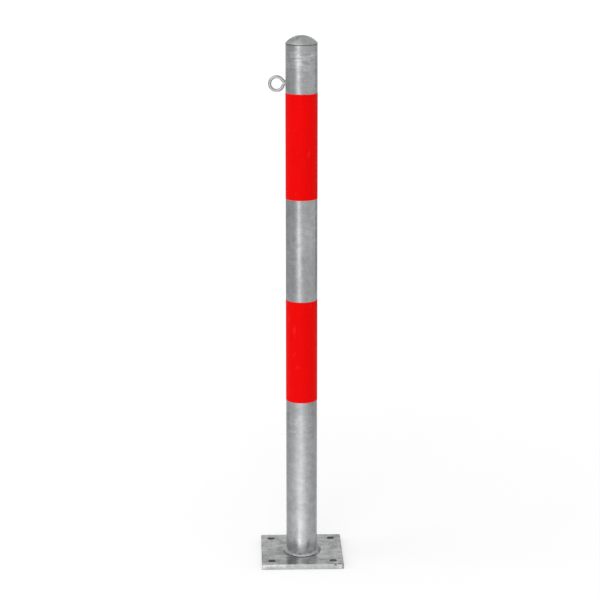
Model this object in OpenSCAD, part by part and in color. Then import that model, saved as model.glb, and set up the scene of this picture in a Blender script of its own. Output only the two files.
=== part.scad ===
// Barrier post: a galvanised tube welded on a square base plate, with a dome cap,
// a screwed wire eye for a chain and two lapped bands of red film.
// Millimetres, +Z up. The origin is on the tube's axis, at the underside of the plate.

/* [Tube] */
// Outer diameter of the tube
tube_d = 60.3; // [48:0.1:89]
// Wall of the tube
tube_wall = 2.6; // [2:0.1:4]
// Length of the tube, from the plate to the cap
tube_l = 1000; // [800:5:1400]
// Chamfer that deburring leaves round the outside of the tube's upper end
tube_deburr = 0.8; // [0.2:0.1:1.5]

/* [Base plate] */
// Size of the plate from left to right
plate_w = 160; // [140:1:260]
// Size of the plate from front to back
plate_depth = 160; // [140:1:260]
// Thickness of the plate
plate_t = 10; // [6:0.5:16]
// Radius of the plate's corners, seen from above
plate_corner_r = 4; // [2:0.5:12]
// Rounding that the zinc gives the plate's sharp edges
plate_edge_r = 0.6; // [0.2:0.1:1.5]
// Diameter of the anchor holes
anchor_hole_d = 14; // [9:0.5:18]
// Distance from an anchor hole's centre to the plate's edges
anchor_margin = 20; // [14:0.5:24]
// Diameter of the hole in the middle that drains the zinc
drain_hole_d = 30; // [12:1:40]

/* [Weld] */
// Leg of the fillet weld along the plate
weld_leg_plate = 8; // [4:0.5:10]
// Leg of the fillet weld up the tube
weld_leg_tube = 5; // [4:0.5:10]
// Rise of the weld's face above a straight line between its toes
weld_crown = 0.7; // [0.3:0.1:1.2]

/* [Dome cap] */
// Height of the upright rim under the dome
cap_rim_h = 2; // [1.5:0.1:5]
// Height of the dome above the rim
cap_dome_h = 14; // [8:0.5:22]
// Thickness of the pressed sheet
cap_sheet = 2; // [1.5:0.1:3]
// Length of the spigot that is driven into the tube
cap_spigot_l = 16; // [8:1:30]
// Rounding of the rim's lower edge
cap_edge_r = 0.8; // [0.2:0.1:1]
// Radial clearance between the spigot and the bore
cap_fit = 0.1; // [0.05:0.05:0.4]

/* [Chain eye] */
// Diameter of the wire
eye_wire_d = 6; // [5:0.5:8]
// Diameter inside the ring
eye_inner_d = 19.6; // [16:0.1:40]
// Distance of the screw hole below the tube's upper end
eye_drop = 72; // [40:1:110]
// Height of the shank's axis above the ring's centre
eye_axis_lift = 1.8; // [0:0.1:3]
// Angle round the ring at which the neck leaves it
eye_neck_angle = 40; // [30:1:50]
// Radius of the reverse bend between neck and shank, on the wire's axis
eye_neck_r = 4; // [4:0.1:8]
// Angle left open between the ring's cut end and the level of its centre
eye_end_angle = 8; // [4:1:20]
// Length of the threaded shank
eye_shank_l = 18; // [16:1:24]
// Least gap between the ring and the insert's head
eye_standoff = 0.15; // [0.1:0.05:2]
// How far the reverse bend may reach in behind the tube's outer face
eye_neck_depth = 0.5; // [0:0.1:1]
// Chamfer on the wire's two cut ends
eye_chamfer = 0.6; // [0.2:0.1:1.2]

/* [Threaded insert] */
// Overhang of the insert's flat head round its sleeve
insert_overhang = 0.75; // [0.5:0.05:2]
// Thickness of the head
insert_head_t = 0.6; // [0.5:0.1:1.5]
// Chamfer round the mouth of the insert
insert_mouth = 0.5; // [0.4:0.1:0.5]
// Wall of the insert's sleeve round the wire's clearance bore
insert_sleeve = 1; // [0.8:0.1:1.5]
// How far the upset collar behind the tube wall stands proud of the sleeve
insert_upset = 1.3; // [0.8:0.1:2]
// Width of the upset collar
insert_collar_w = 2.6; // [2:0.1:4]
// Length of the insert behind its head
insert_l = 14.5; // [12:0.5:18]
// Length of its threaded end
insert_thread_l = 6.5; // [5:0.5:9]
// Radial clearance of the wire in the sleeve
insert_clear = 0.5; // [0.4:0.1:1]
// Radial clearance in the tube's hole and in the thread
insert_fit = 0.05; // [0.05:0.01:0.2]

/* [Red bands] */
// Height of each band
band_h = 200; // [100:5:250]
// Bare length of tube between the two bands
band_gap = 197; // [50:1:250]
// Distance of the upper band's top edge below the axis of the eye's screw hole
band_below_eye = 19; // [8:1:60]
// Thickness of the film
film_t = 0.2; // [0.15:0.05:0.5]
// Thickness of the adhesive under the film
film_glue = 0.03; // [0.02:0.01:0.1]
// Width over which the film's end laps its start
film_lap = 12; // [5:1:20]

/* [Hidden] */
$fn = 96;
// Facets round the small edges and round the dome
EDGE_FN = 32;
DOME_FN = 180;
// How far a cut runs past the face it opens, and past a face that it only meets
CUT = 1;
TINY = 0.01;
// How far a straight stretch of wire laps into the bend beside it, and its added radius there,
// which keep the wire one solid at every size
WIRE_LAP = 0.1;
WIRE_STEP = 0.01;

tube_r = tube_d / 2;
bore_r = tube_r - tube_wall;
tube_top = plate_t + tube_l;

anchor_x = plate_w / 2 - anchor_margin;
anchor_y = plate_depth / 2 - anchor_margin;

spigot_r = bore_r - cap_fit;
dome_r = (pow(tube_r, 2) + pow(cap_dome_h, 2)) / (2 * cap_dome_h);

wire_r = eye_wire_d / 2;
ring_r = eye_inner_d / 2 + wire_r;
eye_z = tube_top - eye_drop;
ring_z = eye_z - eye_axis_lift;
// Straight length of the neck that brings the reverse bend down to the shank's axis
neck_l = ((ring_r + eye_neck_r) * sin(eye_neck_angle) - eye_neck_r - eye_axis_lift)
    / cos(eye_neck_angle);
neck_end = [
    ring_r * cos(eye_neck_angle) + neck_l * sin(eye_neck_angle),
    ring_r * sin(eye_neck_angle) - neck_l * cos(eye_neck_angle)
];
shank_start = neck_end[0] + eye_neck_r * cos(eye_neck_angle);
// The ring stands clear of the insert, and the neck is straight before it meets the thread
ring_x = -max(
    tube_r + insert_head_t + eye_standoff + wire_r + ring_r,
    tube_r - eye_neck_depth + shank_start
);

sleeve_bore_r = wire_r + insert_clear;
sleeve_r = sleeve_bore_r + insert_sleeve;
collar_r = sleeve_r + insert_upset;
// The collar starts where its rim meets the curved inside of the tube
collar_start = tube_r - sqrt(pow(bore_r, 2) - pow(collar_r, 2)) + insert_fit;

upper_band_z = eye_z - band_below_eye - band_h;
lower_band_z = upper_band_z - band_gap - band_h;
film_r = tube_r + film_glue;
lap_angle = film_lap / film_r * 180 / PI;

// Outline of an edge of the plate, from a line inside it to its rounded outer face
module slab_edge(reach, thickness, edge_r) {
    square([reach - edge_r, thickness]);
    translate([0, edge_r]) square([reach, thickness - 2 * edge_r]);
    for (z = [edge_r, thickness - edge_r])
        translate([reach - edge_r, z]) circle(r = edge_r, $fn = EDGE_FN);
}

// One straight side of the plate, lying along +Y and facing +X
module slab_side(length, reach, thickness, edge_r) {
    translate([0, length / 2, 0])
        rotate([90, 0, 0])
            linear_extrude(length) slab_edge(reach, thickness, edge_r);
}

// Flat plate with round corners and with edges rounded above and below
module rounded_slab(width, depth, thickness, corner_r, edge_r) {
    core_x = width / 2 - corner_r;
    core_y = depth / 2 - corner_r;
    translate([-core_x, -core_y, 0]) cube([2 * core_x, 2 * core_y, thickness]);
    for (side = [0, 180]) {
        rotate([0, 0, side])
            translate([core_x, 0, 0])
                slab_side(2 * core_y, corner_r, thickness, edge_r);
        rotate([0, 0, side + 90])
            translate([core_y, 0, 0])
                slab_side(2 * core_x, corner_r, thickness, edge_r);
    }
    for (x = [-core_x, core_x], y = [-core_y, core_y])
        translate([x, y, 0])
            rotate_extrude() slab_edge(corner_r, thickness, edge_r);
}

// Solid round bar whose axis runs into the post, with its start at depth zero
module inward_bar(depth, length, radius) {
    translate([-tube_r + depth, 0, eye_z])
        rotate([0, 90, 0])
            cylinder(h = length, r = radius);
}

module post_tube() {
    color("lightslategray")
        difference() {
            translate([0, 0, plate_t]) cylinder(h = tube_l, r = tube_r);
            translate([0, 0, plate_t - CUT]) cylinder(h = tube_l + 2 * CUT, r = bore_r);
            // Deburred outer edge of the upper end
            rotate_extrude()
                polygon([
                    [tube_r - tube_deburr, tube_top],
                    [tube_r + CUT, tube_top - tube_deburr - CUT],
                    [tube_r + CUT, tube_top + CUT],
                    [tube_r - tube_deburr, tube_top + CUT]
                ]);
            inward_bar(-CUT, tube_wall + 3 * CUT, sleeve_r + insert_fit);
        }
}

// Cutter for an anchor hole, whose upper rim the zinc rounds
module anchor_hole() {
    hole_r = anchor_hole_d / 2;
    translate([0, 0, -CUT]) cylinder(h = plate_t + 2 * CUT, r = hole_r);
    rotate_extrude()
        difference() {
            translate([hole_r - TINY, plate_t - plate_edge_r])
                square([plate_edge_r + TINY, plate_edge_r + CUT]);
            translate([hole_r + plate_edge_r, plate_t - plate_edge_r])
                circle(r = plate_edge_r, $fn = EDGE_FN);
        }
}

module base_plate() {
    color("darkgray")
        difference() {
            rounded_slab(plate_w, plate_depth, plate_t, plate_corner_r, plate_edge_r);
            for (x = [-anchor_x, anchor_x], y = [-anchor_y, anchor_y])
                translate([x, y, 0]) anchor_hole();
            translate([0, 0, -CUT]) cylinder(h = plate_t + 2 * CUT, d = drain_hole_d);
        }
}

// Section of the fillet weld: a corner between plate and tube under a crowned face
module weld_section() {
    chord = sqrt(pow(weld_leg_plate, 2) + pow(weld_leg_tube, 2));
    face_r = pow(chord, 2) / (8 * weld_crown) + weld_crown / 2;
    face_depth = face_r - weld_crown;
    away = [weld_leg_tube, weld_leg_plate] / chord;
    centre = [weld_leg_plate, weld_leg_tube] / 2 - face_depth * away;
    intersection() {
        square([weld_leg_plate + weld_crown, weld_leg_tube + weld_crown]);
        translate(centre) circle(r = face_r);
    }
}

module base_weld() {
    color("silver")
        translate([0, 0, plate_t])
            rotate_extrude()
                translate([tube_r, 0]) weld_section();
}

// Half section of the cap, measured up from the tube's end
module cap_section() {
    inner_r = spigot_r - cap_sheet;
    difference() {
        union() {
            // Dome and rim
            intersection() {
                translate([0, cap_rim_h + cap_dome_h - dome_r]) circle(r = dome_r, $fn = DOME_FN);
                square([tube_r, cap_rim_h + cap_dome_h]);
            }
            // Spigot with a tapered lead
            translate([0, -cap_spigot_l + cap_sheet])
                square([spigot_r, cap_spigot_l - cap_sheet + cap_rim_h / 2]);
            polygon([
                [0, -cap_spigot_l],
                [spigot_r - cap_sheet / 2, -cap_spigot_l],
                [spigot_r, -cap_spigot_l + cap_sheet],
                [0, -cap_spigot_l + cap_sheet]
            ]);
        }
        // Hollow below the sheet
        translate([-CUT, -cap_spigot_l - CUT]) square([inner_r + CUT, cap_spigot_l + CUT]);
        intersection() {
            translate([0, cap_rim_h + cap_dome_h - dome_r])
                circle(r = dome_r - cap_sheet, $fn = DOME_FN);
            translate([-CUT, -TINY]) square([inner_r + CUT, cap_rim_h + cap_dome_h]);
        }
        // Rounding of the rim's lower edge
        difference() {
            translate([tube_r - cap_edge_r, -TINY]) square([cap_edge_r + CUT, cap_edge_r + TINY]);
            translate([tube_r - cap_edge_r, cap_edge_r]) circle(r = cap_edge_r, $fn = EDGE_FN);
        }
    }
}

module domed_cap() {
    color("gray")
        translate([0, 0, tube_top])
            rotate_extrude() cap_section();
}

// Straight stretch of wire in the ring's plane, from a point and at an angle to +X.
// It laps into the bend before it, and ends in the next bend or in a chamfered cut.
module wire_run(start, angle, length, is_cut) {
    run_r = wire_r + WIRE_STEP;
    lap_end = length + WIRE_LAP;
    cut_end = length + eye_chamfer;
    tip = is_cut
        ? [[run_r, length], [run_r - eye_chamfer, cut_end], [0, cut_end]]
        : [[run_r, lap_end], [0, lap_end]];
    translate(start)
        rotate([0, 0, angle])
            rotate([0, 90, 0])
                rotate_extrude()
                    polygon(concat([[0, -WIRE_LAP], [run_r, -WIRE_LAP]], tip));
}

// Arc of wire in the ring's plane
module wire_arc(centre, radius, start_angle, sweep) {
    translate(centre)
        rotate([0, 0, start_angle])
            rotate_extrude(angle = sweep)
                translate([radius, 0]) circle(r = wire_r);
}

module chain_eye() {
    end_angle = 360 - eye_end_angle;
    ring_end = ring_r * [cos(end_angle), sin(end_angle)];
    neck_start = ring_r * [cos(eye_neck_angle), sin(eye_neck_angle)];
    bend_centre = neck_end + eye_neck_r * [cos(eye_neck_angle), sin(eye_neck_angle)];
    shank_run = eye_shank_l - eye_chamfer;
    color("gainsboro")
        translate([ring_x, 0, ring_z])
            rotate([90, 0, 0]) {
                wire_arc([0, 0], ring_r, eye_neck_angle, end_angle - eye_neck_angle);
                wire_run(ring_end, end_angle + 90, 0, true);
                wire_run(neck_start, eye_neck_angle - 90, neck_l, false);
                wire_arc(bend_centre, eye_neck_r, 180 + eye_neck_angle, 90 - eye_neck_angle);
                wire_run([shank_start, eye_axis_lift], 0, shank_run, true);
            }
}

// Half section of the set insert along its axis: depth into the post against radius
module insert_section() {
    thread_start = insert_l - insert_thread_l;
    difference() {
        union() {
            translate([0, -insert_head_t])
                square([sleeve_r + insert_overhang, insert_head_t]);
            square([sleeve_r, insert_l]);
            // Upset collar with a rounded rim
            translate([0, collar_start])
                square([collar_r - insert_collar_w / 2, insert_collar_w]);
            translate([collar_r - insert_collar_w / 2, collar_start + insert_collar_w / 2])
                circle(d = insert_collar_w, $fn = EDGE_FN);
        }
        translate([-CUT, -insert_head_t - CUT])
            square([sleeve_bore_r + CUT, thread_start + insert_head_t + CUT]);
        translate([-CUT, thread_start - TINY])
            square([wire_r + insert_fit + CUT, insert_thread_l + CUT]);
        polygon([
            [0, -insert_head_t],
            [sleeve_bore_r + insert_mouth, -insert_head_t],
            [sleeve_bore_r, insert_mouth - insert_head_t],
            [0, insert_mouth - insert_head_t]
        ]);
    }
}

module rivet_nut() {
    color("khaki")
        translate([-tube_r, 0, eye_z])
            rotate([0, 90, 0])
                rotate_extrude() insert_section();
}

// Film wrapped once round the tube, its last stretch lapped over its start at the back
module red_band(bottom) {
    color("red")
        translate([0, 0, bottom]) {
            difference() {
                cylinder(h = band_h, r = film_r + film_t);
                translate([0, 0, -CUT]) cylinder(h = band_h + 2 * CUT, r = film_r);
            }
            rotate([0, 0, 90 - lap_angle / 2])
                rotate_extrude(angle = lap_angle)
                    translate([film_r + film_t / 2, 0]) square([film_t * 3 / 2, band_h]);
        }
}

module lower_red_band() {
    red_band(lower_band_z);
}

module upper_red_band() {
    red_band(upper_band_z);
}

post_tube();
base_plate();
base_weld();
domed_cap();
chain_eye();
rivet_nut();
upper_red_band();
lower_red_band();
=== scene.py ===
# Looks of a galvanised barrier post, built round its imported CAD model.
# Metres, +Z up; the origin is on the tube's axis at the underside of the base plate.
import math

import bpy
from mathutils import Matrix, Vector


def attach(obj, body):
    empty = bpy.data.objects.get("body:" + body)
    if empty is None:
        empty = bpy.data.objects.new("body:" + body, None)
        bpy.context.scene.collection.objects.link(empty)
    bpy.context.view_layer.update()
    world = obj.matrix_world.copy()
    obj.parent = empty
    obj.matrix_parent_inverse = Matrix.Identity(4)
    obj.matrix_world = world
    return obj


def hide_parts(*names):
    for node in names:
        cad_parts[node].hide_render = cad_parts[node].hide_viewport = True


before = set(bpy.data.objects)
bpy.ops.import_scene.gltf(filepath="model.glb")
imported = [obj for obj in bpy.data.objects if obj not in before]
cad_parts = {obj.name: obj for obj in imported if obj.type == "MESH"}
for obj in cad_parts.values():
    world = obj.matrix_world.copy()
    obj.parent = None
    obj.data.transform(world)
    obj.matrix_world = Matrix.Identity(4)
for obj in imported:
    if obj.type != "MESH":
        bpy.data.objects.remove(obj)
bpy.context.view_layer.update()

MM = 0.001

# Camera, as fitted to the tube, the bands, the plate's corners and its holes
CAMERA_DISTANCE = 3.3794
CAMERA_HEIGHT = 1.3562
CAMERA_AZIMUTH = math.radians(-1.772)
CAMERA_HEADING = math.radians(-1.720)
CAMERA_PITCH = math.radians(13.896)
CAMERA_ROLL = math.radians(-0.025)
LENS_MM = 108.754
SENSOR_MM = 36.0

# Sizes shared with the CAD model
TUBE_R = 30.15 * MM
PLATE_TOP = 10 * MM
PLATE_HALF = 80 * MM
CAP_SEAM = 1010 * MM

# Weld bead: its legs on the plate and the tube, how much further it runs out at the front and how
# sharply that swell fades to the sides, and then its ripples and its section
WELD_LEG_PLATE = 7.2 * MM
WELD_LEG_TUBE = 5 * MM
WELD_FRONT_SWELL = 3.4 * MM
WELD_FRONT_SHARPNESS = 3.0
WELD_RIPPLES = 68
WELD_RIPPLE_HEIGHT = 0.7 * MM
WELD_STEPS_AROUND = 900
WELD_FACE_POINTS = 13
WELD_BULGE = 0.95
WELD_INSIDE = -0.4 * MM

# Painted shade outside the weld's toe, standing for the shadow under the bead: its width at the sides and
# at the front
TOE_SHADE_SIDE = 0.6 * MM
TOE_SHADE_FRONT = 5 * MM

# Bath zinc on the tube and the cap: the height of the pale marks that wiping left round the top of
# the tube, the size of its crystals and the depth of its dimples
WIPED_HEIGHT = 983 * MM
CRYSTAL_SIZE = 9 * MM
DIMPLE_DEPTH = 0.05 * MM

# Colours of the finishes, linear
TUBE_ZINC = (0.50, 0.51, 0.52)
PLATE_ZINC = (0.62, 0.625, 0.63)
WELD_ZINC = (0.68, 0.685, 0.69)
CAP_ZINC = (0.57, 0.573, 0.576)
WIRE_ZINC = (0.62, 0.63, 0.64)
INSERT_ZINC = (0.60, 0.58, 0.52)
FILM_RED = (0.90, 0.0005, 0.0005)
FILM_SCUFF = (0.92, 0.03, 0.03)

# Marks on the plate: each one's middle and half sizes in millimetres, and the factor on its colour.
# A dark streak beside the front left hole, then bare metal, a painted dark reflection down the rounded
# front right corner, a notch and a scrape at the front right corner
PLATE_MARKS = [
    ((-69.0, -60.0, 10.0), (4.2, 1.6, 3.0), 0.30),
    ((71.0, -82.0, 5.0), (8.0, 4.5, 6.0), 1.18),
    # Painted dark reflection down the rounded front right corner
    ((80.2, -80.2, 6.5), (3.4, 3.4, 6.5), 0.28),
    ((64.0, -79.8, 9.2), (2.6, 2.0, 2.6), 0.32),
    ((71.5, -78.8, 10.4), (4.8, 2.6, 1.7), 0.38),
]

# Dark patches at the two ends of the weld's front run, in the same form; the two at the right end are
# painted shade in the bead's rough end
WELD_MARKS = [
    ((34.0, -12.0, 13.0), (3.4, 5.5, 3.6), 0.55),
    ((37.5, -4.0, 12.0), (2.4, 3.0, 3.0), 0.45),
    ((-35.0, -14.0, 12.5), (2.6, 4.5, 3.2), 0.85),
]


# Small helpers


def deselect_everything():
    """Back to object mode with nothing selected, because operators act on all that is selected."""
    if bpy.context.mode != "OBJECT":
        bpy.ops.object.mode_set(mode="OBJECT")
    bpy.ops.object.select_all(action="DESELECT")


def shade(tint, factor):
    """A tint made darker or lighter, as a colour with full cover."""
    return tuple(channel * factor for channel in tint) + (1.0,)


def maths(tree, operation, first, second=None):
    """A math node on value outputs and plain numbers."""
    node = tree.nodes.new("ShaderNodeMath")
    node.operation = operation
    for socket, value in zip(node.inputs, (first, second)):
        if isinstance(value, float):
            socket.default_value = value
        elif value is not None:
            tree.links.new(value, socket)
    return node.outputs[0]


class NodeBench:
    """One material's node tree, with short ways to add and wire its nodes."""

    def __init__(self, name):
        self.material = bpy.data.materials.new(name)
        self.material.use_nodes = True
        self.tree = self.material.node_tree
        self.shader = self.tree.nodes["Principled BSDF"]
        self.place = self.tree.nodes.new("ShaderNodeTexCoord").outputs["Object"]

    def add(self, kind, **settings):
        node = self.tree.nodes.new(kind)
        for key, value in settings.items():
            setattr(node, key, value)
        return node

    def wire(self, source, target):
        self.tree.links.new(source, target)

    def stretched(self, scale, turn=(0, 0, 0)):
        """The place, turned and scaled, so that a pattern laid on it is drawn out."""
        mapping = self.add("ShaderNodeMapping")
        mapping.inputs["Rotation"].default_value = turn
        mapping.inputs["Scale"].default_value = scale
        self.wire(self.place, mapping.inputs["Vector"])
        return mapping.outputs["Vector"]

    def length_of(self, vector):
        node = self.add("ShaderNodeVectorMath", operation="LENGTH")
        self.wire(vector, node.inputs[0])
        return node.outputs["Value"]

    def split(self, vector):
        node = self.add("ShaderNodeSeparateXYZ")
        self.wire(vector, node.inputs[0])
        return node.outputs

    def noise(self, scale, detail=4.0, roughness=0.55, where=None, swirl=0.0):
        """Cloudy pattern, with more and finer parts at a larger scale."""
        node = self.add("ShaderNodeTexNoise")
        node.inputs["Distortion"].default_value = swirl
        node.inputs["Scale"].default_value = scale
        node.inputs["Detail"].default_value = detail
        node.inputs["Roughness"].default_value = roughness
        self.wire(where or self.place, node.inputs["Vector"])
        return node.outputs["Fac"]

    def crystals(self, size):
        """Cells of about one size, each with its own level."""
        node = self.add("ShaderNodeTexVoronoi")
        node.inputs["Scale"].default_value = 1.0 / size
        self.wire(self.place, node.inputs["Vector"])
        split = self.add("ShaderNodeSeparateColor")
        self.wire(node.outputs["Color"], split.inputs["Color"])
        return split.outputs["Red"]

    def blend(self, parts):
        """Weighted sum of several value outputs."""
        total = None
        for source, weight in parts:
            scaled = self.calc("MULTIPLY", source, weight)
            total = scaled if total is None else self.calc("ADD", total, scaled)
        return total

    def ramp(self, source, low, high, low_colour, high_colour):
        """From one colour at a low value to another at a high one."""
        node = self.add("ShaderNodeValToRGB")
        ends = node.color_ramp.elements
        ends[0].position, ends[0].color = low, low_colour
        ends[1].position, ends[1].color = high, high_colour
        self.wire(source, node.inputs["Fac"])
        return node.outputs["Color"]

    def spread(self, source, low, high, to_low, to_high):
        """A value's range moved onto another range, and held at its ends."""
        node = self.add("ShaderNodeMapRange")
        node.inputs["From Min"].default_value = low
        node.inputs["From Max"].default_value = high
        node.inputs["To Min"].default_value = to_low
        node.inputs["To Max"].default_value = to_high
        self.wire(source, node.inputs["Value"])
        return node.outputs["Result"]

    def calc(self, operation, first, second=None):
        return maths(self.tree, operation, first, second)

    def toned(self, colour, mask, factor):
        """The colour multiplied by a factor where the mask is 1."""
        node = self.add("ShaderNodeMix", data_type="RGBA", blend_type="MULTIPLY")
        self.wire(mask, node.inputs[0])
        self.wire(colour, node.inputs[6])
        node.inputs[7].default_value = (factor, factor, factor, 1.0)
        return node.outputs[2]

    def mixed(self, mask, colour, other):
        """One colour where the mask is 0 and the other where it is 1."""
        node = self.add("ShaderNodeMix", data_type="RGBA")
        self.wire(mask, node.inputs[0])
        self.wire(colour, node.inputs[6])
        if isinstance(other, tuple):
            node.inputs[7].default_value = other
        else:
            self.wire(other, node.inputs[7])
        return node.outputs[2]

    def bare_metal(self, colour, roughness):
        """The shader set as bare metal, with this colour and this roughness."""
        self.wire(colour, self.shader.inputs["Base Color"])
        self.shader.inputs["Metallic"].default_value = 1.0
        self.wire(roughness, self.shader.inputs["Roughness"])

    def bump(self, height, depth):
        """Fine relief: a height of 1 stands this depth above a height of 0."""
        node = self.add("ShaderNodeBump")
        node.inputs["Strength"].default_value = 1.0
        node.inputs["Distance"].default_value = depth
        self.wire(height, node.inputs["Height"])
        self.wire(node.outputs["Normal"], self.shader.inputs["Normal"])


# Materials


def hot_dip_zinc(name, tint, roughness, contrast=0.14, run=0.08, wiping=1.4):
    """Zinc left by the bath: soft crystals, clouds, runs, pale wipe marks, fine scratches, a painted shadow
    line at the cap's seam, standing for the shade in the gap, and a dimpled skin. A smaller run draws the
    runs out further downwards, and a larger wiping makes the wipe marks paler."""
    bench = NodeBench(name)
    crystals = bench.crystals(CRYSTAL_SIZE)
    clouds = bench.noise(24.0, detail=5.0, roughness=0.62)
    runs = bench.noise(1.0, detail=4.0, where=bench.stretched((130.0, 130.0, 130.0 * run)))
    mottle = bench.blend([(clouds, 0.5), (crystals, 0.16), (runs, 0.34)])
    tone = bench.ramp(mottle, 0.34, 0.64, shade(tint, 1 - contrast), shade(tint, 1 + contrast))
    height = bench.split(bench.place)["Z"]
    slanting = bench.stretched((38.0, 38.0, 190.0), (0.5, 0.5, 0))
    wipes = bench.noise(1.0, detail=4.0, swirl=1.5, where=slanting)
    from_wiped = bench.calc("ABSOLUTE", bench.calc("SUBTRACT", height, WIPED_HEIGHT))
    places = bench.spread(bench.noise(13.0, detail=1.0), 0.44, 0.60, 0.0, 0.3)
    places = bench.calc("MAXIMUM", places, bench.spread(from_wiped, 10 * MM, 26 * MM, 1.0, 0.0))
    wiped = bench.calc("MULTIPLY", bench.spread(wipes, 0.47, 0.60, 0.0, 1.0), places)
    tone = bench.toned(tone, wiped, wiping)
    scratches = bench.noise(1.0, detail=3.0, where=bench.stretched((40.0, 40.0, 900.0), (0.06, 0.04, 0)))
    tone = bench.toned(tone, bench.spread(scratches, 0.56, 0.68, 0.0, 1.0), 0.90)
    # Painted shadow: a dark line round the cap's seam, standing for the shade in the gap
    from_seam = bench.calc("ABSOLUTE", bench.calc("SUBTRACT", height, CAP_SEAM))
    tone = bench.toned(tone, bench.spread(from_seam, 0.5 * MM, 1.4 * MM, 1.0, 0.0), 0.58)
    patches = bench.noise(70.0, detail=4.0, roughness=0.6)
    bench.bare_metal(tone, bench.spread(patches, 0.3, 0.7, roughness - 0.06, roughness + 0.08))
    skin = bench.noise(95.0, detail=3.0, roughness=0.5)
    grain = bench.noise(620.0, detail=2.0)
    bench.bump(bench.blend([(skin, 1.0), (grain, 0.10), (crystals, 0.06), (wiped, 0.10)]), DIMPLE_DEPTH)
    return bench.material


def weld_toe_shade_mask(bench):
    """1 at the weld's toe, fading to 0 outside it, for painted shade along the toe; the toe lies further
    out, and its painted shade is wider and stronger at the front.
    """
    flat = bench.stretched((1.0, 1.0, 0.0))
    radius = bench.length_of(flat)
    toward_front = bench.calc("MULTIPLY", bench.calc("DIVIDE", bench.split(flat)["Y"], radius), -1.0)
    front = bench.calc("POWER", bench.calc("MAXIMUM", toward_front, 0.0), WELD_FRONT_SHARPNESS)
    toe = bench.calc("ADD", bench.calc("MULTIPLY", front, WELD_FRONT_SWELL), TUBE_R + WELD_LEG_PLATE)
    width = bench.calc("ADD", bench.calc("MULTIPLY", front, TOE_SHADE_FRONT - TOE_SHADE_SIDE), TOE_SHADE_SIDE)
    outside = bench.calc("DIVIDE", bench.calc("SUBTRACT", radius, toe), width)
    near = bench.spread(outside, 0.4, 1.0, 1.0, 0.0)
    return bench.calc("MULTIPLY", near, bench.spread(front, 0.1, 0.6, 0.1, 1.0))


def mark_mask(bench, middle, half_sizes):
    """1 inside a small ragged patch, fading to 0 at its edge."""
    mapping = bench.add("ShaderNodeMapping", vector_type="TEXTURE")
    mapping.inputs["Location"].default_value = [size * MM for size in middle]
    mapping.inputs["Scale"].default_value = [size * MM for size in half_sizes]
    bench.wire(bench.place, mapping.inputs["Vector"])
    ragged = bench.spread(bench.noise(480.0, detail=2.0), 0.35, 0.65, -0.3, 0.3)
    outside = bench.calc("ADD", bench.length_of(mapping.outputs["Vector"]), ragged)
    return bench.spread(outside, 0.6, 1.0, 1.0, 0.0)


def marked(bench, tone, marks):
    """The colour with each of the marks laid on it."""
    for middle, half_sizes, factor in marks:
        tone = bench.toned(tone, mark_mask(bench, middle, half_sizes), factor)
    return tone


def weld_zinc():
    """Bright, uneven zinc over the bead, with painted shade in the creases where one ripple meets the next.
    """
    bench = NodeBench("weld_zinc")
    clouds = bench.noise(75.0, detail=5.0, roughness=0.65)
    tone = bench.ramp(clouds, 0.38, 0.62, shade(WELD_ZINC, 0.70), shade(WELD_ZINC, 1.25))
    place = bench.split(bench.place)
    turn = bench.calc("ARCTAN2", place["Y"], place["X"])
    sway = bench.calc("MULTIPLY", bench.noise(55.0, detail=3.0), 2.2)
    ripples = bench.calc("ADD", bench.calc("MULTIPLY", turn, WELD_RIPPLES / math.tau), sway)
    from_middle = bench.calc("ABSOLUTE", bench.calc("SUBTRACT", bench.calc("FRACT", ripples), 0.5))
    line = bench.spread(from_middle, 0.30, 0.48, 0.0, 1.0)
    showing = bench.spread(bench.noise(45.0, detail=2.0), 0.42, 0.55, 0.15, 1.0)
    # Painted shade in the creases where one ripple meets the next
    tone = bench.toned(tone, bench.calc("MULTIPLY", line, showing), 0.45)
    bench.bare_metal(marked(bench, tone, WELD_MARKS), bench.spread(clouds, 0.35, 0.65, 0.22, 0.40))
    bench.bump(bench.blend([(bench.noise(260.0, detail=4.0), 1.0), (line, -0.5)]), 0.12 * MM)
    return bench.material


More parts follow.
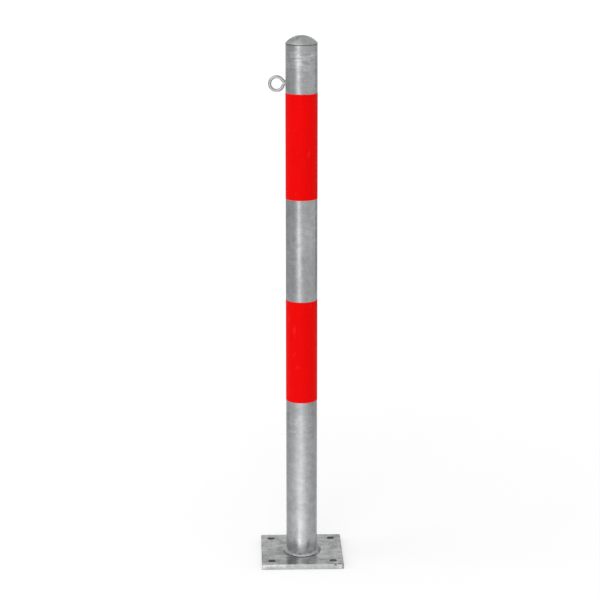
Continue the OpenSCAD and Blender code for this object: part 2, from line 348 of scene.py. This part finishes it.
def plate_zinc():
    """Thicker, streaky zinc on the plate, evener and painted lighter on its cut edges, with dark specks,
    painted shade along the weld's toe, and marks.
    """
    bench = NodeBench("plate_zinc")
    clouds = bench.noise(34.0, detail=6.0, roughness=0.66)
    long_way = bench.stretched((26.0, 72.0, 80.0), (0, 0, 0.5))
    cross_way = bench.stretched((95.0, 34.0, 80.0), (0, 0, 0.4))
    streaks = bench.noise(1.0, detail=5.0, swirl=1.0, where=long_way)
    cross = bench.noise(1.0, detail=4.0, swirl=0.8, where=cross_way)
    pits = bench.noise(340.0, detail=4.0, roughness=0.7)
    mottle = bench.blend([(clouds, 0.28), (streaks, 0.34), (cross, 0.22), (pits, 0.16)])
    tone = bench.ramp(mottle, 0.44, 0.57, shade(PLATE_ZINC, 0.64), shade(PLATE_ZINC, 1.26))
    specks = bench.spread(bench.noise(210.0, detail=3.0), 0.66, 0.72, 0.0, 1.0)
    tone = bench.toned(tone, specks, 0.62)
    # Side faces: evener zinc, and painted lighter than the top, standing for the light that falls on the
    # front face
    facing_up = bench.split(bench.add("ShaderNodeNewGeometry").outputs["Normal"])["Z"]
    edge_mottle = bench.blend([(bench.noise(130.0, detail=4.0, roughness=0.6), 0.6), (pits, 0.4)])
    edge_tone_painted_lighter = bench.ramp(edge_mottle, 0.42, 0.58, shade(PLATE_ZINC, 0.90), shade(PLATE_ZINC, 1.17))
    tone = bench.mixed(bench.spread(facing_up, 0.8, 0.2, 0.0, 0.75), tone, edge_tone_painted_lighter)
    # Painted shade along the weld's toe, standing for the shadow under the bead
    tone = bench.toned(tone, weld_toe_shade_mask(bench), 0.22)
    bench.bare_metal(marked(bench, tone, PLATE_MARKS), bench.spread(mottle, 0.40, 0.60, 0.14, 0.28))
    lumps = bench.noise(120.0, detail=4.0, roughness=0.6)
    bench.bump(bench.blend([(lumps, 1.0), (pits, 0.35), (streaks, 0.6), (cross, 0.4)]), 0.20 * MM)
    return bench.material


def drawn_wire_zinc():
    """Bright plated wire, a little brighter and smoother than the bath zinc."""
    bench = NodeBench("wire_zinc")
    dulling = bench.noise(160.0, detail=4.0)
    tone = bench.ramp(dulling, 0.35, 0.65, shade(WIRE_ZINC, 0.88), shade(WIRE_ZINC, 1.06))
    bench.bare_metal(tone, bench.spread(dulling, 0.3, 0.7, 0.13, 0.24))
    bench.bump(bench.noise(900.0, detail=2.0), 0.015 * MM)
    return bench.material


def insert_zinc():
    """Warmer, duller plating on the insert in the tube's wall."""
    bench = NodeBench("insert_zinc")
    dulling = bench.noise(400.0, detail=3.0)
    tone = bench.ramp(dulling, 0.35, 0.65, shade(INSERT_ZINC, 0.85), shade(INSERT_ZINC, 1.08))
    bench.bare_metal(tone, bench.spread(dulling, 0.3, 0.7, 0.26, 0.38))
    bench.bump(bench.noise(1500.0, detail=2.0), 0.01 * MM)
    return bench.material


def red_film():
    """Smooth satin film whose colour barely varies, with a few rubbed places."""
    bench = NodeBench("red_film")
    fade = bench.noise(14.0, detail=3.0)
    scuffs = bench.noise(1.0, detail=5.0, where=bench.stretched((60.0, 60.0, 300.0)))
    faded = bench.blend([(fade, 0.7), (scuffs, 0.3)])
    tone = bench.ramp(faded, 0.3, 0.7, shade(FILM_RED, 0.95), shade(FILM_RED, 1.03))
    rubbing = bench.noise(1.0, detail=4.0, where=bench.stretched((90.0, 90.0, 45.0)))
    rubbed = bench.spread(rubbing, 0.64, 0.74, 0.0, 0.6)
    bench.wire(bench.mixed(rubbed, tone, shade(FILM_SCUFF, 1.0)), bench.shader.inputs["Base Color"])
    bench.wire(bench.spread(scuffs, 0.3, 0.7, 0.38, 0.48), bench.shader.inputs["Roughness"])
    bench.shader.inputs["Specular IOR Level"].default_value = 0.03
    bench.bump(bench.noise(180.0, detail=2.0), 0.02 * MM)
    return bench.material


# Pieces


def finish_node(node, material):
    """A CAD node keeps its shape and gets this material in every slot."""
    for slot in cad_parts[node].material_slots:
        slot.material = material


def weld_section():
    """Distances out from the tube's wall and up from the plate: from the toe on the plate over the
    round face to the toe on the tube, then back down inside the wall."""
    section = []
    for i in range(WELD_FACE_POINTS):
        swing = 0.5 * math.pi * i / (WELD_FACE_POINTS - 1)
        out = WELD_LEG_PLATE * math.cos(swing) ** WELD_BULGE
        up = WELD_LEG_TUBE * math.sin(swing) ** WELD_BULGE
        section.append((out, up))
    section += [(WELD_INSIDE, WELD_LEG_TUBE), (WELD_INSIDE, 0.5 * WELD_LEG_TUBE), (WELD_INSIDE, 0.0)]
    return section


def laid_by_hand(place):
    """A point of the even bead, moved to where a hand-laid one has it: a wandering toe, a swell at the
    front and ripples that lap over each other."""
    x, y, z = place
    turn = math.atan2(y, x)
    out = (math.hypot(x, y) - TUBE_R) / WELD_LEG_PLATE
    up = (z - PLATE_TOP) / WELD_LEG_TUBE
    # The bead's back, inside the tube's wall, stays as it is
    if out < -0.01:
        return place
    swing = math.atan2(up, out)
    front = max(0.0, -math.sin(turn)) ** WELD_FRONT_SHARPNESS
    wander = 0.42 * math.sin(3 * turn + 0.7)
    wander += 0.30 * math.sin(7 * turn + 2.1)
    wander += 0.22 * math.sin(17 * turn + 0.3)
    leg = WELD_LEG_PLATE + WELD_FRONT_SWELL * front + wander * MM
    height = WELD_LEG_TUBE + 0.5 * wander * MM
    lag = 0.5 * math.sin(2 * swing) + 0.35 * math.sin(11 * turn + 1.3)
    along_ripple = (turn / math.tau * WELD_RIPPLES + lag) % 1.0
    unevenness = 0.75 + 0.35 * math.sin(23 * turn + 0.4) * math.sin(9 * turn)
    # Each ripple is highest in the middle of the face and fades out at both toes
    ripple = 0.0
    if 0 < swing < 1.57:
        ripple = WELD_RIPPLE_HEIGHT * unevenness * math.sin(2 * swing) ** 0.7 * (1.0 - along_ripple) ** 1.4
    radius = TUBE_R + (leg + ripple) * math.cos(swing) * math.hypot(out, up)
    rise = (height + ripple) * math.sin(swing) * math.hypot(out, up)
    return Vector((radius * math.cos(turn), radius * math.sin(turn), PLATE_TOP + rise))


def weld_bead():
    """Fillet bead round the tube's foot, laid in overlapping ripples and heavier at the front."""
    section = weld_section()
    deselect_everything()
    bpy.ops.mesh.primitive_circle_add(vertices=len(section), radius=WELD_LEG_TUBE, fill_type="NOTHING")
    bead = bpy.context.object
    bead.name = "weld_bead"
    for vertex, (out, up) in zip(bead.data.vertices, section):
        vertex.co = Vector((TUBE_R + out, 0.0, PLATE_TOP + up))
    bpy.ops.object.mode_set(mode="EDIT")
    bpy.ops.mesh.select_all(action="SELECT")
    bpy.ops.mesh.spin(steps=WELD_STEPS_AROUND, angle=math.tau, center=(0, 0, 0), axis=(0, 0, 1))
    bpy.ops.mesh.select_all(action="SELECT")
    bpy.ops.mesh.remove_doubles(threshold=0.01 * MM)
    bpy.ops.mesh.normals_make_consistent(inside=False)
    bpy.ops.object.mode_set(mode="OBJECT")
    for vertex in bead.data.vertices:
        vertex.co = laid_by_hand(vertex.co)
    bpy.ops.object.shade_smooth()
    bead.data.materials.append(weld_zinc())
    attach(bead, "root")
    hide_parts("base_weld")


# Studio

# Levels of white: the world's soft light, what of the white background shows in gloss, and the
# floor's own glow near the post and far from it, with the two distances in metres
WORLD_LEVEL = 0.66
GLOSSY_SHARE = 0.55
FLOOR_GLOW_NEAR = 0.385
FLOOR_GLOW_FAR = 0.52
FLOOR_NEAR = 0.3
FLOOR_FAR = 2.5

# Floor: its size, how far it lies under the post, its tint and its roughness
FLOOR_SIZE = 30.0
FLOOR_DROP = 0.2 * MM
FLOOR_TINT = (0.78, 0.78, 0.78)
FLOOR_ROUGHNESS = 0.9

# Tent of lit cloth round the post, with the brightness of its ceiling, and the height that the
# lamps aim at
TENT_R = 0.73
TENT_TOP = 1.30
TENT_FLOOR_START = 0.116
CEILING_LEVEL = 0.50
LAMP_AIM_HEIGHT = 0.6


def white_share(tree):
    """How much of the white background a ray sees: all of it for the camera, part of it in gloss."""
    path = tree.nodes.new("ShaderNodeLightPath")
    gloss = maths(tree, "MULTIPLY", path.outputs["Is Glossy Ray"], GLOSSY_SHARE)
    seen = maths(tree, "MAXIMUM", path.outputs["Is Camera Ray"], gloss)
    return maths(tree, "MAXIMUM", seen, path.outputs["Is Transmission Ray"])


def white_background(tree, strength):
    node = tree.nodes.new("ShaderNodeBackground")
    node.inputs["Color"].default_value = (1, 1, 1, 1)
    node.inputs["Strength"].default_value = strength
    return node.outputs[0]


def studio_world():
    """Soft grey light for the object, and white where the camera looks past it."""
    world = bpy.data.worlds.new("studio")
    bpy.context.scene.world = world
    world.use_nodes = True
    tree = world.node_tree
    tree.nodes.clear()
    mix = tree.nodes.new("ShaderNodeMixShader")
    out = tree.nodes.new("ShaderNodeOutputWorld")
    tree.links.new(white_share(tree), mix.inputs["Fac"])
    tree.links.new(white_background(tree, WORLD_LEVEL), mix.inputs[1])
    tree.links.new(white_background(tree, 1.0), mix.inputs[2])
    tree.links.new(mix.outputs[0], out.inputs["Surface"])


def floor_glow(tree):
    """Strength of the floor's own white. The ground that the plate covers stays unlit, so the anchor
    holes look down on shade."""
    place = tree.nodes.new("ShaderNodeTexCoord").outputs["Object"]
    split = tree.nodes.new("ShaderNodeSeparateXYZ")
    tree.links.new(place, split.inputs[0])
    aside = maths(tree, "ABSOLUTE", split.outputs["X"])
    ahead = maths(tree, "ABSOLUTE", split.outputs["Y"])
    uncovered = maths(tree, "GREATER_THAN", maths(tree, "MAXIMUM", aside, ahead), PLATE_HALF)
    away = tree.nodes.new("ShaderNodeVectorMath")
    away.operation = "LENGTH"
    tree.links.new(place, away.inputs[0])
    strength = tree.nodes.new("ShaderNodeMapRange")
    strength.inputs["From Min"].default_value = FLOOR_NEAR
    strength.inputs["From Max"].default_value = FLOOR_FAR
    strength.inputs["To Min"].default_value = FLOOR_GLOW_NEAR
    strength.inputs["To Max"].default_value = FLOOR_GLOW_FAR
    tree.links.new(away.outputs["Value"], strength.inputs["Value"])
    lit = maths(tree, "MULTIPLY", white_share(tree), strength.outputs["Result"])
    return maths(tree, "MULTIPLY", lit, uncovered)


def studio_floor():
    """Pale floor under the post, which takes its shadow and looks white to the camera."""
    deselect_everything()
    bpy.ops.mesh.primitive_plane_add(size=FLOOR_SIZE, location=(0, 0, -FLOOR_DROP))
    floor = bpy.context.object
    floor.name = "studio_floor"
    material = bpy.data.materials.new("pale_floor")
    material.use_nodes = True
    tree = material.node_tree
    shader = tree.nodes["Principled BSDF"]
    shader.inputs["Base Color"].default_value = shade(FLOOR_TINT, 1.0)
    shader.inputs["Roughness"].default_value = FLOOR_ROUGHNESS
    shader.inputs["Specular IOR Level"].default_value = 0.0
    glow = tree.nodes.new("ShaderNodeEmission")
    glow.inputs["Color"].default_value = (1, 1, 1, 1)
    tree.links.new(floor_glow(tree), glow.inputs["Strength"])
    both = tree.nodes.new("ShaderNodeAddShader")
    tree.links.new(shader.outputs[0], both.inputs[0])
    tree.links.new(glow.outputs[0], both.inputs[1])
    tree.links.new(both.outputs[0], tree.nodes["Material Output"].inputs["Surface"])
    floor.data.materials.append(material)


def around_post(azimuth_deg, distance, height):
    """A place by its angle to the right of the camera's direction, seen from the post."""
    angle = math.radians(azimuth_deg) + CAMERA_AZIMUTH
    return Vector((distance * math.sin(angle), -distance * math.cos(angle), height))


def softbox(name, azimuth_deg, distance, height, width, tall, watts):
    """Large soft lamp; the tent's cloth stands for it in the metal's reflections."""
    lamp = bpy.data.lights.new(name, "AREA")
    lamp.shape = "RECTANGLE"
    lamp.size = width
    lamp.size_y = tall
    lamp.energy = watts
    lamp_object = bpy.data.objects.new(name, lamp)
    bpy.context.scene.collection.objects.link(lamp_object)
    lamp_object.location = around_post(azimuth_deg, distance, height)
    aim = Vector((0, 0, LAMP_AIM_HEIGHT)) - lamp_object.location
    lamp_object.rotation_euler = aim.to_track_quat("-Z", "Y").to_euler()
    lamp_object.visible_glossy = False


def smooth(value, low, high):
    """0 below low, 1 above high, and a soft change between."""
    part = min(1.0, max(0.0, (value - low) / (high - low)))
    return part * part * (3.0 - 2.0 * part)


def soft_peak(angle, centre, width):
    """1 at the centre, half of that one width away, and long tails."""
    return 1.0 / (1.0 + ((angle - centre) / width) ** 2)


def tent_level(angle, height):
    """Brightness of the tent's cloth, by the angle in degrees to the right of the camera and the
    height in metres. The camera looks down, so the tube mirrors cloth 0.1 to 0.3 m below the place."""
    above_foot = smooth(height, 0.11, 0.17)
    lower = 1.0 - above_foot
    upper = smooth(height, 0.31, 0.37)
    middle = above_foot * (1.0 - upper)
    side = lower * 0.45 + middle * 0.60 + upper * (0.44 + 0.17 * smooth(angle, -40, 20))
    broad_light = 0.85 * soft_peak(angle, -9, 36) * lower
    narrow_light = 1.10 * soft_peak(angle, -14 - 9.3 * height, 9) * upper
    foot_light = 0.85 * math.exp(-(((angle + 11) / 14) ** 2))
    foot_light *= smooth(height, 0.19, 0.23) * (1.0 - smooth(height, 0.33, 0.36))
    falloff = 1.0 - 0.16 * smooth(height, 0.0, 0.12) * lower
    front = (side + broad_light) * falloff + narrow_light + foot_light
    back = 0.62 - 0.17 * smooth(height, 0.33, 0.38) + 0.25 * smooth(height, 0.65, 0.95)
    behind = smooth(abs(angle), 134, 144)
    cloth = front * (1.0 - behind) + back * behind
    dark_gap = smooth(angle, 119, 123) * (1.0 - smooth(angle, 131, 135)) * upper
    return cloth * (1.0 - 0.80 * dark_gap)


def tent_cloth(name, place_and_level, around, across):
    """Grid whose points a function puts in place and lights, and which shows only in the metal's gloss."""
    deselect_everything()
    bpy.ops.mesh.primitive_grid_add(x_subdivisions=around, y_subdivisions=across, size=2.0)
    cloth = bpy.context.object
    cloth.name = name
    levels = []
    # The grid runs from -1 to 1 both ways: once round the post in degrees, and from 0 to 1 across
    for vertex in cloth.data.vertices:
        place, level = place_and_level(vertex.co.x * 180.0, 0.5 + 0.5 * vertex.co.y)
        vertex.co = place
        levels.append(level)
    glow_level = cloth.data.attributes.new("glow_level", "FLOAT", "POINT")
    glow_level.data.foreach_set("value", levels)
    material = bpy.data.materials.new(name)
    material.use_nodes = True
    tree = material.node_tree
    glow = tree.nodes.new("ShaderNodeEmission")
    reader = tree.nodes.new("ShaderNodeAttribute")
    reader.attribute_name = "glow_level"
    tree.links.new(reader.outputs["Fac"], glow.inputs["Strength"])
    tree.links.new(glow.outputs[0], tree.nodes["Material Output"].inputs["Surface"])
    cloth.data.materials.append(material)
    cloth.visible_camera = False
    cloth.visible_diffuse = False
    cloth.visible_shadow = False


def light_tent():
    """Round tent of softly lit cloth: its wall, its ground outside the plate and its ceiling.
    Each part is laid out by the angle round the post and by how far along it a point lies, 0 to 1."""

    def wall(angle, part):
        return around_post(angle, TENT_R, TENT_TOP * part), tent_level(angle, TENT_TOP * part)

    def ground(angle, part):
        reach = TENT_FLOOR_START + (TENT_R - TENT_FLOOR_START) * part
        streak = 1.5 * math.exp(-(((angle + 14) / 10) ** 2)) * (1.0 - smooth(part, 0.0, 0.13))
        return around_post(angle, reach, 0.0), tent_level(angle, 0.0) * (1.12 - 0.14 * part) + streak

    def ceiling(angle, part):
        reach = TENT_R * max(part, 0.001)
        lamp = math.exp(-(((angle + 38) / 40) ** 2) - ((reach - 0.38) / 0.2) ** 2)
        return around_post(angle, reach, TENT_TOP), CEILING_LEVEL + lamp

    tent_cloth("tent_wall", wall, around=240, across=104)
    tent_cloth("tent_ground", ground, around=240, across=40)
    tent_cloth("tent_ceiling", ceiling, around=90, across=20)


def studio_lights():
    """Two soft lamps that light the object, and the tent that the metal reflects."""
    softbox("front_light", azimuth_deg=-7, distance=3.0, height=1.2, width=2.0, tall=2.2, watts=30)
    softbox("left_light", azimuth_deg=-80, distance=2.4, height=1.3, width=1.6, tall=2.0, watts=9)
    light_tent()


def camera():
    """The photograph's viewpoint, from the fitted place, heading, pitch and roll."""
    lens = bpy.data.cameras.new("camera")
    lens.sensor_width = SENSOR_MM
    lens.lens = LENS_MM
    eye = bpy.data.objects.new("camera", lens)
    bpy.context.scene.collection.objects.link(eye)
    level = math.cos(CAMERA_PITCH)
    aside = -math.sin(CAMERA_HEADING) * level
    ahead = math.cos(CAMERA_HEADING) * level
    forward = Vector((aside, ahead, -math.sin(CAMERA_PITCH)))
    right = forward.cross(Vector((0, 0, 1))).normalized()
    up = right.cross(forward)
    rolled_right = right * math.cos(CAMERA_ROLL) + up * math.sin(CAMERA_ROLL)
    rolled_up = up * math.cos(CAMERA_ROLL) - right * math.sin(CAMERA_ROLL)
    turned = Matrix((rolled_right, rolled_up, -forward)).transposed().to_4x4()
    eye.matrix_world = Matrix.Translation(around_post(0, CAMERA_DISTANCE, CAMERA_HEIGHT)) @ turned
    bpy.context.scene.camera = eye


# Build

bpy.context.scene.view_settings.view_transform = "Standard"
camera()
finish_node("post_tube", hot_dip_zinc("tube_zinc", TUBE_ZINC, 0.27))
finish_node("base_plate", plate_zinc())
finish_node("domed_cap", hot_dip_zinc("cap_zinc", CAP_ZINC, 0.50, contrast=0.24, run=1.0, wiping=1.15))
finish_node("chain_eye", drawn_wire_zinc())
finish_node("rivet_nut", insert_zinc())
band_film = red_film()
finish_node("upper_red_band", band_film)
finish_node("lower_red_band", band_film)
weld_bead()
studio_world()
studio_floor()
studio_lights()
